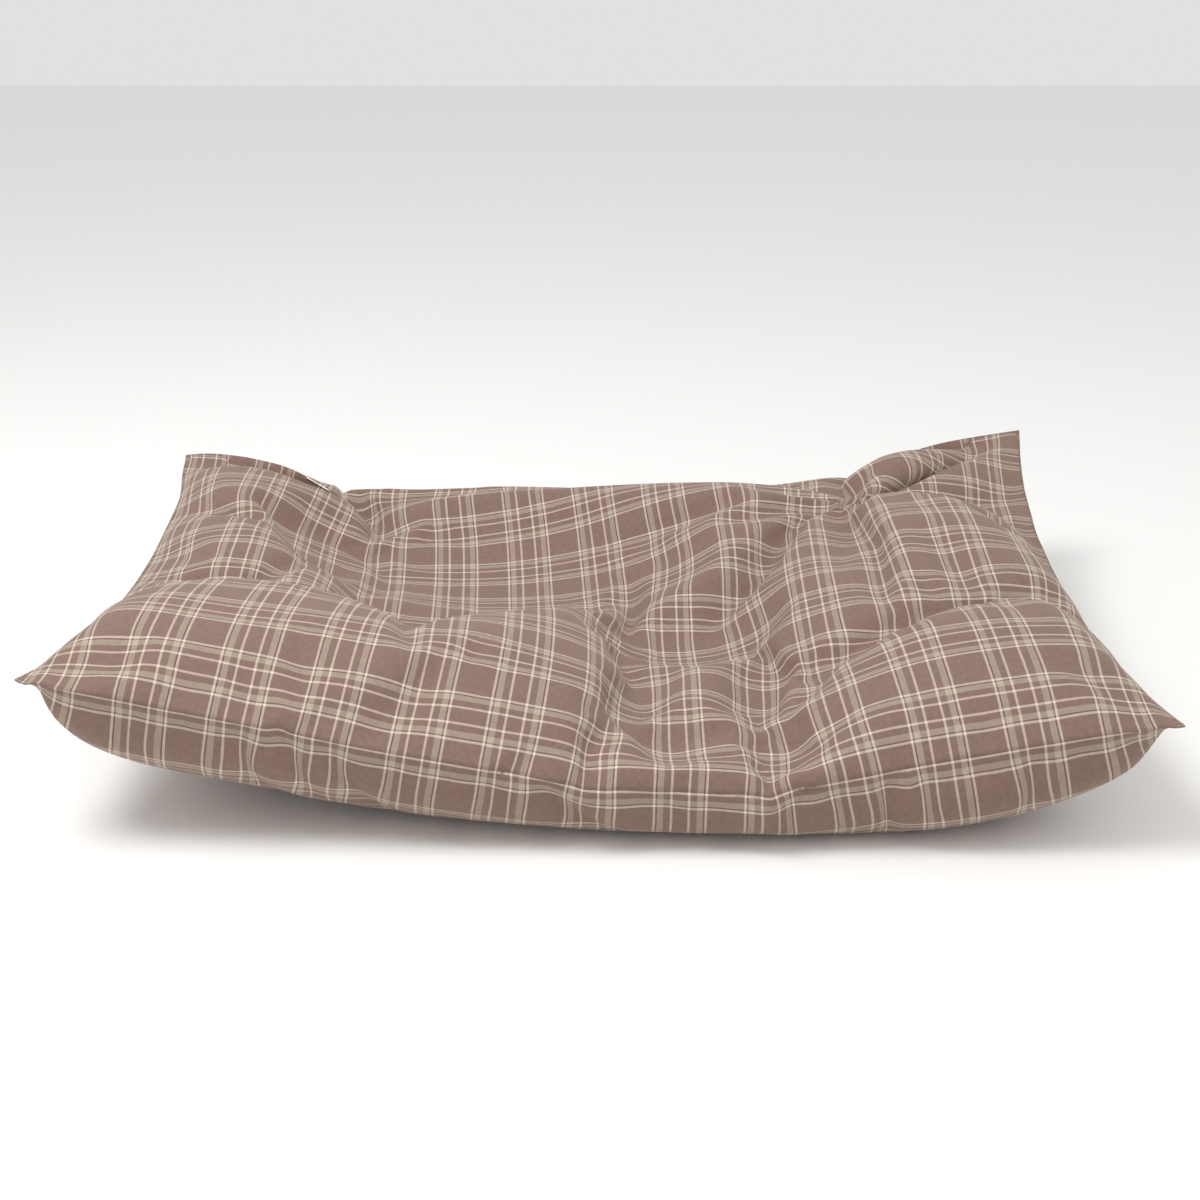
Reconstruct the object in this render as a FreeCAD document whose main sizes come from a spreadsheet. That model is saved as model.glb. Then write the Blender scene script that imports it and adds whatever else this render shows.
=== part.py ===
"""Knife-edge cushion bed for a pet: a zipped plaid cover round a fibre-filled inner cushion.

Millimetres. +X runs along the cushion's long side, -Y is its front and +Z is up. The origin is on the
floor, under the centre of the cushion's bounding box. The zipper closes the middle of the back edge.
"""
import FreeCAD, Part
import math
import os

import Sketcher  # noqa: F401  registers the sketch object type
from FreeCAD import Placement, Rotation, Vector

# ---------------------------------------------------------------- driving dimensions
# alias: (value in mm, or a plain share, and what it is)
DIMENSIONS = {
    "cushion_length": (1176.0, "corner tip to corner tip, along X"),
    "cushion_width": (880.0, "corner tip to corner tip, along Y"),
    "side_pull": (0.075, "share by which the sides pull in between the corners"),
    "end_pull": (0.075, "share by which the front and back pull in between the corners"),
    "bolster_height": (238.0, "height of the full rim round the sleeping hollow"),
    "hollow_depth": (104.0, "how far the sleeping hollow sinks below the rim"),
    "hollow_reach_x": (290.0, "half length of the hollow"),
    "hollow_reach_y": (200.0, "half width of the hollow"),
    "hollow_shift_x": (-40.0, "where the hollow's centre lies along X"),
    "hollow_shift_y": (10.0, "where the hollow's centre lies along Y"),
    "seam_front": (66.0, "height of the seam at the middle of the front"),
    "seam_back": (104.0, "height of the seam at the middle of the back"),
    "corner_lift": (104.0, "how far the corner tips rise above the seam beside them"),
    "cover_cloth": (1.0, "thickness of the cover's cloth"),
    "liner_cloth": (0.6, "thickness of the liner's cloth"),
    "cloth_gap": (0.4, "clearance between one layer and the next"),
    "liner_inset": (15.0, "how much smaller the liner is than the cover, all round"),
    "liner_back_gap": (26.0, "extra room for the zipper behind the liner"),
    "allowance_width": (9.0, "width of the turned-in seam allowance"),
    "allowance_thickness": (1.2, "thickness of the turned-in seam allowance"),
    "zip_length": (600.0, "length of the zipper's chain"),
    "zip_cut": (18.0, "how far the knife edge is blunted to take the zipper"),
    "zip_margin": (24.0, "blunted edge past each end of the chain, where the pull tab flips over"),
    "tape_width": (11.0, "width of each zipper tape"),
    "tape_thickness": (0.8, "thickness of each zipper tape"),
    "coil_half": (3.0, "half the width of the closed chain"),
    "coil_thickness": (2.3, "thickness of the chain"),
    "coil_pitch": (4.0, "pitch of the teeth on one row"),
    "coil_clearance": (0.15, "clearance between meshed teeth"),
    "welt_edge": (4.6, "half the gap between the two folded welts"),
    "slider_length": (12.0, "length of the slider along the chain"),
    "slider_width": (8.6, "width of the slider across the chain"),
    "slider_wing": (1.2, "thickness of each slider wing"),
    "bridge_length": (6.4, "length of the bridge on the slider"),
    "bridge_width": (2.2, "width of the bridge across the chain"),
    "bridge_rise": (3.6, "height of the bridge above the slider"),
    "pin_radius": (0.7, "radius of the pull tab's cross bar"),
    "pin_hole": (1.15, "radius of the hole in the bridge"),
    "tab_length": (26.0, "length of the pull tab past its cross bar"),
    "tab_width": (7.0, "width of the pull tab"),
    "tab_thickness": (1.2, "thickness of the pull tab"),
    "tab_window": (6.0, "length of the window round the bridge"),
    "stitch_length": (3.2, "length of one topstitch"),
    "stitch_pitch": (4.4, "pitch of the topstitches"),
    "stitch_size": (0.4, "thickness of the thread"),
    "label_width": (36.0, "width of the care label"),
    "label_drop": (48.0, "how far the care label hangs"),
    "label_thickness": (0.5, "thickness of the folded label"),
    "label_x": (-395.0, "where the care label hangs along X"),
}

# Shares of the half length or half width that shape the soft pieces
STRAIGHT_SHARE = 0.74  # the back seam is straight this far out from its middle
RIM_SHARE_X = 0.34  # width of the rounded rim along X
RIM_SHARE_Y = 0.52  # width of the rounded rim along Y
FULLNESS = 2.2  # how plump the rim is: 1 is a flat slope
FLOOR_DIP = 26.0  # how far the base is drawn below the floor before it is trimmed flat
ALLOWANCE_START = 6.0  # cloth thicknesses from the knife edge to the turned-in allowance
ALLOWANCE_SHARE = 0.82  # the allowance is clipped well short of the narrow corners
ALLOWANCE_GAP = 8.0  # and stops this far before the zipper's opening
POLES_X, POLES_Y = 41, 29  # control points of the soft surfaces
DEGREE = 3

# Small clearances and details of the zipper, in mm
FIT = 0.3  # between the cloth and the zipper pieces beside it
SPINE = 1.4  # from the zipper's centreline to the solid cord of each row of teeth
TOOTH_REACH = 1.1  # how far a tooth reaches past the centreline
TOOTH_LEAN = 0.22  # how much a tooth tapers on each side
STOP_LENGTH = 3.0  # length of each end stop
SLOT_END = 8.0  # the slot between the welts closes this far past each end of the chain
TACK_LENGTH, TACK_HEIGHT, TACK_SIZE = 2.0, 16.0, 0.6  # bar tacks across the slot's ends
STITCH_INSET = 2.6  # from the welt's folded edge to its stitching
WING_GAP = 0.8  # room round the chain between the slider's wings

doc = FreeCAD.newDocument("pet_cushion_bed")
sheet = doc.addObject("Spreadsheet::Sheet", "dimensions")
for row, (alias, (value, meaning)) in enumerate(DIMENSIONS.items(), start=1):
    sheet.set(f"A{row}", alias)
    sheet.set(f"B{row}", str(value))
    sheet.set(f"C{row}", meaning)
    sheet.setAlias(f"B{row}", alias)
doc.recompute()


def size(alias):
    """A driving dimension, read back from the sheet."""
    return float(sheet.get(alias))


def bind(target, **expressions):
    """Binds properties of an object to expressions, in which [zip_length] stands for that cell of the sheet."""
    for name, expression in expressions.items():
        for alias in sorted(DIMENSIONS, key=len, reverse=True):
            expression = expression.replace(f"[{alias}]", f"dimensions.{alias}")
        target.setExpression(name.replace("__", "."), expression)


parts = []


def keep(piece, label):
    """Marks an object as a finished sub-part: its label names its file."""
    piece.Label = label
    parts.append(piece)
    return piece


def feature(label, shape):
    """A sub-part whose shape is made here, from sizes read from the sheet."""
    piece = doc.addObject("Part::Feature", label)
    piece.Shape = shape
    piece.Placement = Placement()
    return keep(piece, label)


# ---------------------------------------------------------------- the cushion's soft form
def smooth(value, start):
    """0 up to start, then an easy rise to 1 at value 1."""
    share = min(max((value - start) / (1.0 - start), 0.0), 1.0)
    return share * share * (3.0 - 2.0 * share)


def rim(distance, width):
    """0 at the seam, rising steeply and easing to 1 at the inner side of the rounded rim."""
    share = min(max(distance / width, 0.0), 1.0)
    return 1.0 - (1.0 - share) ** FULLNESS


def greville(count):
    """Where a clamped, uniform B-spline's control points stand, from -1 to 1, to keep straight lines straight."""
    spans = count - DEGREE
    knots = [0] * DEGREE + list(range(spans + 1)) + [spans] * DEGREE
    return [2.0 * sum(knots[i + 1 : i + 1 + DEGREE]) / DEGREE / spans - 1.0 for i in range(count)]


def cover_share(u, v, inset, back_gap):
    """Where a point of an inner layer lies on the cover, from -1 to 1, left to right and front to back."""
    half_x, half_y = size("cushion_length") / 2, size("cushion_width") / 2
    return u * (1.0 - inset / half_x), v * (1.0 - inset / half_y) - max(v, 0.0) * back_gap / half_y


def plan(u, v):
    """Plan position of a point of the cover: the sides, front and back pull in between the corners."""
    straight = STRAIGHT_SHARE * (v + 1.0) / 2.0
    x = size("cushion_length") / 2 * u * (1.0 - size("side_pull") * (1.0 - smooth(abs(v), 0.0)))
    y = size("cushion_width") / 2 * v * (1.0 - size("end_pull") * (1.0 - smooth(abs(u), straight)))
    return x, y


def seam_height(u, v):
    """Height of the seam's surface: low at the front, higher at the back, and lifted at the corner tips."""
    straight = STRAIGHT_SHARE * (v + 1.0) / 2.0
    front, back = size("seam_front"), size("seam_back")
    level = front + (back - front) * (v + 1.0) / 2.0
    return level + size("corner_lift") * smooth(abs(u), straight) * smooth(abs(v), 0.0)


def fullness(u, v):
    """0 at the seam and 1 inside the rounded rim."""
    return rim(1.0 - abs(u), RIM_SHARE_X) * rim(1.0 - abs(v), RIM_SHARE_Y)


def skin_top(u, v):
    """Height of the cover's upper skin inside its rim: full all round, and sunk in the sleeping hollow."""
    x, y = plan(u, v)
    across = (x - size("hollow_shift_x")) / size("hollow_reach_x")
    along = (y - size("hollow_shift_y")) / size("hollow_reach_y")
    return size("bolster_height") - size("hollow_depth") * math.exp(-(across**2) - along**2)


def knots_of(count):
    spans = count - DEGREE
    return list(range(spans + 1)), [DEGREE + 1] + [1] * (spans - 1) + [DEGREE + 1]


def spline_face(poles, degree_v=DEGREE):
    """A B-spline face on rows of control points."""
    knots_u, mults_u = knots_of(len(poles))
    if degree_v == 1:
        knots_v, mults_v = [0, 1], [2, 2]
    else:
        knots_v, mults_v = knots_of(len(poles[0]))
    surface = Part.BSplineSurface()
    surface.buildFromPolesMultsKnots(poles, mults_u, mults_v, knots_u, knots_v, False, False, DEGREE, degree_v)
    return surface.toShape()


def layer_poles(side, depth, inset, back_gap, lowest):
    """Control points of one side of a layer: side is "top" or "base"."""
    rows = []
    for u in greville(POLES_X):
        row = []
        for v in greville(POLES_Y):
            at = cover_share(u, v, inset, back_gap)
            seam, full = seam_height(*at), fullness(u, v)
            if side == "top":
                z = seam + (skin_top(*at) - depth - seam) * full
            else:
                z = max(lowest, seam + (depth - FLOOR_DIP - seam) * full)
            row.append(Vector(*plan(*at), z))
        rows.append(row)
    return rows


def edges_of(poles):
    """The four rows of control points round a layer, as front, back, left and right."""
    return [[row[0] for row in poles], [row[-1] for row in poles], poles[0], poles[-1]]


def ruled_faces(outer, inner):
    """The flat rim between two layers' edges, one face for each side."""
    pairs = zip(edges_of(outer), edges_of(inner))
    return [spline_face([[a, b] for a, b in zip(far, near)], degree_v=1) for far, near in pairs]


def solid_of(faces):
    """One closed solid from faces that share their edges."""
    shell = Part.Shell(Part.makeShell(faces).Faces)
    shell.sewShape()
    solid = Part.Solid(shell)
    if solid.Volume < 0:
        solid.reverse()
    return solid


def sheet_solid(side, outside, inside):
    """One panel of cloth: the space between two layers on one side of the seam."""
    outer, inner = layer_poles(side, *outside), layer_poles(side, *inside)
    return solid_of([spline_face(outer), spline_face(inner), *ruled_faces(outer, inner)])


def box(low, high):
    return Part.makeBox(*(high - low), low)


half_length = size("cushion_length") / 2
back_edge = plan(0.0, 1.0)[1]  # Y of the straight part of the back seam
zip_y = back_edge - size("zip_cut")  # outer face of the zipper's welts
zip_z = size("seam_back")  # centreline of the zipper's chain
zip_half = size("zip_length") / 2
opening_half = zip_half + size("zip_margin")

# Each layer: (depth below the outer skin, inset of its edge, extra gap at the back, height of its base)
cloth, lining, gap = size("cover_cloth"), size("liner_cloth"), size("cloth_gap")
liner_inset, liner_back = size("liner_inset"), size("liner_back_gap")
cover_outside = (0.0, 0.0, 0.0, -FLOOR_DIP)
cover_inside = (cloth, 2.0 * cloth, 0.0, cloth)
liner_outside = (cloth + gap, liner_inset, liner_back, cloth + gap)
liner_inside = (cloth + gap + lining, liner_inset + 2.0 * lining, liner_back, cloth + gap + lining)
fill_outside = (cloth + 2 * gap + lining, liner_inset + 4.0, liner_back, cloth + 2 * gap + lining)

# The knife edge is blunted where the zipper closes it
zip_notch = box(
    Vector(-opening_half, zip_y, 0.0),
    Vector(opening_half, size("cushion_width"), 2.0 * zip_z),
)
below_floor = box(
    Vector(-half_length, -size("cushion_width"), -50.0),
    Vector(half_length, size("cushion_width"), 0.0),
)
cover_top = sheet_solid("top", cover_outside, cover_inside).cut(zip_notch)
cover_base = sheet_solid("base", cover_outside, cover_inside).cut(below_floor).cut(zip_notch)
feature("cover_top_panel", cover_top)
feature("cover_bottom_panel", cover_base)
feature("liner_top_panel", sheet_solid("top", liner_outside, liner_inside))
feature("liner_bottom_panel", sheet_solid("base", liner_outside, liner_inside))
fill_top, fill_base = layer_poles("top", *fill_outside), layer_poles("base", *fill_outside)
feature("fibre_fill", solid_of([spline_face(fill_top), spline_face(fill_base)]))


# ---------------------------------------------------------------- seam allowances, turned inside
def strip_solid(outer, inner, thickness):
    """A flat strip that follows a seam: its outer and inner lines of control points, given a thickness in Z."""
    lift = Vector(0, 0, thickness / 2)

    def face(near, far):
        return spline_face([[a, b] for a, b in zip(near, far)], degree_v=1)

    top_out, top_in = [p + lift for p in outer], [p + lift for p in inner]
    low_out, low_in = [p - lift for p in outer], [p - lift for p in inner]
    sides = [face(top_out, top_in), face(low_out, low_in), face(top_out, low_out), face(top_in, low_in)]
    for i in (0, -1):
        outline = Part.makePolygon([top_out[i], top_in[i], low_in[i], low_out[i], top_out[i]])
        sides.append(Part.Face(outline))
    return solid_of(sides)


def allowance(first_inset, width, thickness):
    """The cover's turned-in edges along its four sides, as separate strips that leave room for the zipper."""
    strips = []
    for side in ("front", "back", "left", "right"):
        lines = []
        for inset in (first_inset, first_inset + width):
            line = []
            for share in greville(POLES_X):
                at = ALLOWANCE_SHARE * share
                u, v = {"front": (at, -1), "back": (at, 1), "left": (-1, at), "right": (1, at)}[side]
                on_cover = cover_share(u, v, inset, 0.0)
                line.append(Vector(*plan(*on_cover), seam_height(*on_cover)))
            lines.append(line)
        strips.append(strip_solid(*lines, thickness))
        if side == "back":
            room = box(
                Vector(-opening_half - ALLOWANCE_GAP, 0.0, 0.0),
                Vector(opening_half + ALLOWANCE_GAP, size("cushion_width"), 2.0 * zip_z),
            )
            strips[-1] = strips[-1].cut(room)
    solids = [solid for strip in strips for solid in strip.Solids]
    return Part.makeCompound(solids)


feature(
    "seam_allowance",
    allowance(ALLOWANCE_START * cloth, size("allowance_width"), size("allowance_thickness")),
)


# ---------------------------------------------------------------- zipper tapes, welts and stops
def block(label, x, y, z, length, depth, height):
    """A plain bar as a Part::Box, each size and place an expression of the sheet."""
    bar = doc.addObject("Part::Box", label)
    bind(bar, Length=length, Width=depth, Height=height)
    bind(bar, Placement__Base__x=x, Placement__Base__y=y, Placement__Base__z=z)
    return bar


# Expressions of the zipper's place, used by every zipper piece
ZIP_Y = "([cushion_width] / 2 * (1 - [end_pull]) - [zip_cut])"
ZIP_Z = "[seam_back]"
TAPE_Y = f"({ZIP_Y} - [cover_cloth] - [tape_thickness])"


for name, sign in (("upper", 1), ("lower", -1)):
    low = f"{ZIP_Z} + [coil_half]" if sign > 0 else f"{ZIP_Z} - [coil_half] - [tape_width]"
    tape = block(
        f"zipper_tape_{name}",
        "-([zip_length] / 2 + [zip_margin])",
        TAPE_Y,
        low,
        "[zip_length] + 2 * [zip_margin]",
        "[tape_thickness]",
        "[tape_width]",
    )
    keep(tape, f"zipper_tape_{name}")
doc.recompute()


def panel_edge(panel):
    """How far the panel's trimmed edge stands from the zipper's centreline, along the whole zipper."""
    slab = box(
        Vector(-opening_half, zip_y - cloth - FIT, 0.0),
        Vector(opening_half, zip_y, 2.0 * zip_z),
    )
    return min(abs(corner.Point.z - zip_z) for corner in panel.common(slab).Vertexes)


# The folded edges of the two panels lie over the tapes and leave a slot for the chain
for name, sign, panel in (("upper", 1, cover_top), ("lower", -1, cover_base)):
    reach = panel_edge(panel) - FIT
    near, far = sorted((zip_z + sign * size("welt_edge"), zip_z + sign * reach))
    welt = box(Vector(-opening_half + FIT, zip_y - cloth, near), Vector(opening_half - FIT, zip_y, far))
    # Past the chain's ends the two folds meet on the centreline
    low, high = sorted((zip_z + sign * FIT / 2, zip_z + sign * size("welt_edge")))
    for left, right in ((-opening_half + FIT, -zip_half - SLOT_END), (zip_half + SLOT_END, opening_half - FIT)):
        welt = welt.fuse(box(Vector(left, zip_y - cloth, low), Vector(right, zip_y, high)))
    feature(f"zipper_welt_{name}", welt.removeSplitter())
    stitch_z = zip_z + sign * (size("welt_edge") + STITCH_INSET)
    count = int(size("zip_length") // size("stitch_pitch"))
    stitches = []
    for i in range(count):
        middle = (i - (count - 1) / 2) * size("stitch_pitch")
        corner = Vector(middle - size("stitch_length") / 2, zip_y, stitch_z - size("stitch_size") / 2)
        stitches.append(Part.makeBox(size("stitch_length"), size("stitch_size"), size("stitch_size"), corner))
    feature(f"welt_stitching_{name}", Part.makeCompound(stitches))


# ---------------------------------------------------------------- zipper chain
def coil_row(sign):
    """One row of the chain: a cord with teeth that reach past the centreline, between the other row's teeth."""
    pitch, half = size("coil_pitch"), size("coil_half")
    play = size("coil_clearance")
    start = -zip_half + (pitch / 2 if sign < 0 else 0.0)
    count = int((zip_half - pitch - start) // pitch)
    points = [(-zip_half, half), (-zip_half, SPINE)]
    for i in range(count):
        left = start + pitch * (i + 0.25) + play / 2
        right = left + pitch / 2 - play
        points.append((left, SPINE))
        points.append((left + TOOTH_LEAN, -TOOTH_REACH))
        points.append((right - TOOTH_LEAN, -TOOTH_REACH))
        points.append((right, SPINE))
    points += [(zip_half - pitch, SPINE), (zip_half - pitch, half)]
    top = zip_y - FIT - size("coil_thickness")
    corners = [Vector(x, top, zip_z + sign * z) for x, z in points]
    face = Part.Face(Part.makePolygon(corners + corners[:1]))
    return face.extrude(Vector(0, size("coil_thickness"), 0))


feature("zipper_coil_upper", coil_row(1))
feature("zipper_coil_lower", coil_row(-1))

stop_y = f"({ZIP_Y} - {FIT} - [coil_thickness])"
bottom_stop = block(
    "zipper_bottom_stop",
    f"-[zip_length] / 2 - {STOP_LENGTH}",
    stop_y,
    f"{ZIP_Z} - [coil_half]",
    f"{STOP_LENGTH - 0.2}",
    "[coil_thickness]",
    "2 * [coil_half]",
)
keep(bottom_stop, "zipper_bottom_stop")
top_clips = []
for name, offset in (("upper", "[slider_wing]"), ("lower", "-[coil_half]")):
    top_clips.append(
        block(
            f"top_stop_{name}",
            "[zip_length] / 2 + 2.4",
            stop_y,
            f"{ZIP_Z} + {offset}",
            f"{STOP_LENGTH}",
            "[coil_thickness]",
            "[coil_half] - [slider_wing]",
        )
    )
top_stops = doc.addObject("Part::Compound", "zipper_top_stops")
top_stops.Links = top_clips
keep(top_stops, "zipper_top_stops")
tacks = []
tack_start = f"([zip_length] / 2 + {SLOT_END})"
for side, place in (("left", f"-{tack_start} - {TACK_LENGTH}"), ("right", tack_start)):
    tack = block(
        f"bar_tack_{side}",
        place,
        ZIP_Y,
        f"{ZIP_Z} - {TACK_HEIGHT / 2}",
        f"{TACK_LENGTH}",
        f"{TACK_SIZE}",
        f"{TACK_HEIGHT}",
    )
    tacks.append(tack)
bar_tacks = doc.addObject("Part::Compound", "zipper_bar_tacks")
bar_tacks.Links = tacks
keep(bar_tacks, "zipper_bar_tacks")


# ---------------------------------------------------------------- slider and pull tab
def body_plane(body, role):
    return next(f for f in body.Origin.OriginFeatures if f.Role == role)


def sketch_on(body, name, role, points):
    """A closed outline of straight lines on one of the body's own origin planes."""
    sketch = body.newObject("Sketcher::SketchObject", name)
    sketch.AttachmentSupport = (body_plane(body, role), [""])
    sketch.MapMode = "FlatFace"
    corners = [Vector(x, y, 0) for x, y in points]
    for start, end in zip(corners, corners[1:] + corners[:1]):
        sketch.addGeometry(Part.LineSegment(start, end), False)
    return sketch


doc.recompute()
wing = size("slider_wing")
long_half, wide_half = size("slider_length") / 2, size("slider_width") / 2
inner_gap = size("coil_thickness") + WING_GAP  # clear height between the wings
slot_face = zip_y + 0.1  # inner side of the outer wing

# The slider's own frame: X along the chain, Y across it, Z out of the cover
slider = doc.addObject("PartDesign::Body", "zipper_slider")
wing_outline = [
    (-long_half, -wide_half * 0.62),
    (-long_half + 2.2, -wide_half * 0.74),
    (long_half * 0.35, -wide_half),
    (long_half, -wide_half * 0.86),
    (long_half, wide_half * 0.86),
    (long_half * 0.35, wide_half),
    (-long_half + 2.2, wide_half * 0.74),
    (-long_half, wide_half * 0.62),
]
outer_wing = sketch_on(slider, "wing_outline", "XY_Plane", wing_outline)
pad_outer = slider.newObject("PartDesign::Pad", "outer_wing")
pad_outer.Profile = outer_wing
bind(pad_outer, Length="[slider_wing]")
doc.recompute()

neck_outline = [
    (long_half - 3.4, 0.0),
    (long_half - 1.6, -1.1),
    (long_half, -1.5),
    (long_half, 1.5),
    (long_half - 1.6, 1.1),
]
neck_sketch = sketch_on(slider, "neck_outline", "XY_Plane", neck_outline)
neck = slider.newObject("PartDesign::Pad", "neck")
neck.Profile = neck_sketch
neck.Reversed = True
bind(neck, Length=f"[coil_thickness] + {WING_GAP}")
doc.recompute()

inner_sketch = sketch_on(slider, "inner_wing_outline", "XY_Plane", wing_outline)
inner_sketch.AttachmentOffset = Placement(Vector(0, 0, -inner_gap - wing), Rotation())
pad_inner = slider.newObject("PartDesign::Pad", "inner_wing")
pad_inner.Profile = inner_sketch
bind(pad_inner, Length="[slider_wing]")
doc.recompute()

bridge_half, rise, hole = size("bridge_length") / 2, size("bridge_rise"), size("pin_hole")
bridge_outline = [
    (-bridge_half, wing - 0.2),
    (-bridge_half, wing + rise * 0.62),
    (-bridge_half * 0.55, wing + rise),
    (bridge_half * 0.55, wing + rise),
    (bridge_half, wing + rise * 0.62),
    (bridge_half, wing - 0.2),
]
bridge_sketch = sketch_on(slider, "bridge_outline", "XZ_Plane", bridge_outline)
bridge = slider.newObject("PartDesign::Pad", "bridge")
bridge.Profile = bridge_sketch
bridge.Midplane = True
bind(bridge, Length="[bridge_width]")
doc.recompute()
solid_before = slider.Shape.Volume

pin_height = wing + rise * 0.5
hole_sketch = slider.newObject("Sketcher::SketchObject", "pin_hole_outline")
hole_sketch.AttachmentSupport = (body_plane(slider, "XZ_Plane"), [""])
hole_sketch.MapMode = "FlatFace"
hole_sketch.addGeometry(Part.Circle(Vector(0, pin_height, 0), Vector(0, 0, 1), hole), False)
hole_sketch.addConstraint(Sketcher.Constraint("Radius", 0, hole))
bind(hole_sketch, **{"Constraints[0]": "[pin_hole]"})
pin_pocket = slider.newObject("PartDesign::Pocket", "pin_hole")
pin_pocket.Profile = hole_sketch
pin_pocket.Midplane = True
pin_pocket.Type = 1  # through all
doc.recompute()
assert slider.Shape.Volume < solid_before - 1.0, "the pin hole cut nothing"

# The slider's Z axis points out of the cover, along +Y of the cushion
slider_x = zip_half - long_half + 1.5
facing = Rotation(Vector(1, 0, 0), Vector(0, 0, -1), Vector(0, 1, 0), "XYZ")
slider.Placement = Placement(Vector(slider_x, slot_face, zip_z), facing)
keep(slider, "zipper_slider")

# The pull tab's own frame: the cross bar runs along Y, the tab lies along -X
tab = doc.addObject("PartDesign::Body", "zipper_pull_tab")
tab_half, window = size("tab_width") / 2, size("tab_window")
arm = 1.5  # width of each arm beside the window
tab_end = size("tab_length")
plate_outline = [
    (1.0, -tab_half),
    (1.0, tab_half),
    (-window, tab_half),
    (-tab_end + 2.0, tab_half * 0.82),
    (-tab_end, tab_half * 0.45),
    (-tab_end, -tab_half * 0.45),
    (-tab_end + 2.0, -tab_half * 0.82),
    (-window, -tab_half),
]
plate_sketch = sketch_on(tab, "plate_outline", "XY_Plane", plate_outline)
plate = tab.newObject("PartDesign::Pad", "plate")
plate.Profile = plate_sketch
plate.Midplane = True
bind(plate, Length="[tab_thickness]")
doc.recompute()
plate_volume = tab.Shape.Volume
window_outline = [
    (1.4, -tab_half + arm),
    (1.4, tab_half - arm),
    (-window, tab_half - arm),
    (-window, -tab_half + arm),
]
window_sketch = sketch_on(tab, "window_outline", "XY_Plane", window_outline)
cut_window = tab.newObject("PartDesign::Pocket", "window")
cut_window.Profile = window_sketch
cut_window.Midplane = True
cut_window.Type = 1  # through all
doc.recompute()
assert tab.Shape.Volume < plate_volume - 10.0, "the window cut nothing"
bar_sketch = tab.newObject("Sketcher::SketchObject", "cross_bar_outline")
bar_sketch.AttachmentSupport = (body_plane(tab, "XZ_Plane"), [""])
bar_sketch.MapMode = "FlatFace"
bar_sketch.addGeometry(Part.Circle(Vector(0, 0, 0), Vector(0, 0, 1), size("pin_radius")), False)
bar_sketch.addConstraint(Sketcher.Constraint("Radius", 0, size("pin_radius")))
bind(bar_sketch, **{"Constraints[0]": "[pin_radius]"})
cross_bar = tab.newObject("PartDesign::Pad", "cross_bar")
cross_bar.Profile = bar_sketch
cross_bar.Midplane = True
bind(cross_bar, Length="[tab_width]")
doc.recompute()
pivot = Vector(slider_x, slot_face + pin_height, zip_z)
tab.Placement = Placement(pivot, facing)
keep(tab, "zipper_pull_tab")

# ---------------------------------------------------------------- care label, sewn into the back seam
label = block(
    "care_label",
    "[label_x] - [label_width] / 2",
    "[cushion_width] / 2 * (1 - [end_pull]) + 0.1",
    f"{ZIP_Z} - [label_drop]",
    "[label_width]",
    "[label_thickness]",
    "[label_drop] + 2",
)
keep(label, "care_label")

# ---------------------------------------------------------------- checks and files
doc.recompute()
for item in doc.Objects:
    if {"Invalid", "Error"} & set(item.State):
        raise RuntimeError(f"{item.Label} failed to build: {item.State}")
os.makedirs("parts", exist_ok=True)
for piece in parts:
    shape = piece.Shape
    if shape.isNull() or not shape.isValid() or not shape.Solids:
        raise RuntimeError(f"{piece.Label} has no valid solid")
    shape.exportStep(f"parts/{piece.Label}.step")
    box_of = shape.BoundBox
    print(
        f"{piece.Label}: {len(shape.Solids)} solids, {shape.Volume / 1000:.1f} cm3, "
        f"X {box_of.XMin:.1f}..{box_of.XMax:.1f}  Y {box_of.YMin:.1f}..{box_of.YMax:.1f}  "
        f"Z {box_of.ZMin:.1f}..{box_of.ZMax:.1f}"
    )
print(f"pull tab pivot {pivot}, slider at x {slider_x:.2f}, zip plane y {zip_y:.2f}, zip height {zip_z:.2f}")
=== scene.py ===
# %% [markdown]
# # A slept-in cushion bed
#
# The object is a large knife-edge floor cushion for a pet: two rectangles of plaid cloth, sewn face to
# face, turned, zipped at the back and stuffed with a fibre-filled inner cushion. Nothing in it is rigid,
# so almost all of its shape comes from how flat cloth gives way round a soft filling. This lesson sews
# the flat cloth, fills it, lets a pet lie in it, and then pats it into its final shape.
#
# The CAD frame comes first, because it says where the zipper is and how large the cushion may be.

# %% Load the frame
import math

import bmesh
import bpy
import numpy as np
from mathutils import Matrix, Vector
from mathutils.bvhtree import BVHTree


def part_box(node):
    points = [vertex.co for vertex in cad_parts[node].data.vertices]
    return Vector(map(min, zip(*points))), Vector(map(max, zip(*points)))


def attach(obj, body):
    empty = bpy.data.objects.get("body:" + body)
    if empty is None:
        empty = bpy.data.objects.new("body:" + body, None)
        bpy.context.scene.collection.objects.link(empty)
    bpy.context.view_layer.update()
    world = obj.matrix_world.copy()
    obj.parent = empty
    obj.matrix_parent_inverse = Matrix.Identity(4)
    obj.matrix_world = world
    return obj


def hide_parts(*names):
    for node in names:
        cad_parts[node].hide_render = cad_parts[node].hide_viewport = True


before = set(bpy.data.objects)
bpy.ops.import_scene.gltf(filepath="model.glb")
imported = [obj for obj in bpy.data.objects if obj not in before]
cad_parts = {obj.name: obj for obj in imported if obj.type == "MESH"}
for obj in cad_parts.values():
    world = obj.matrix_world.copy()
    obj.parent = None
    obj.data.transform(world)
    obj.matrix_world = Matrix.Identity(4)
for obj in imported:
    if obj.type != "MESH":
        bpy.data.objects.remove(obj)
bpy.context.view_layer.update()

scene = bpy.context.scene
CUSHION = "cushion"  # the body that all soft pieces ride on
MM = 0.001

# %% [markdown]
# ## Where things are
#
# Every length below is in metres. The zipper's place is read from the CAD nodes, so that the cloth meets
# it: the welts are the two folded cloth edges beside the teeth, and the cloth has to end on them.

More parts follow.
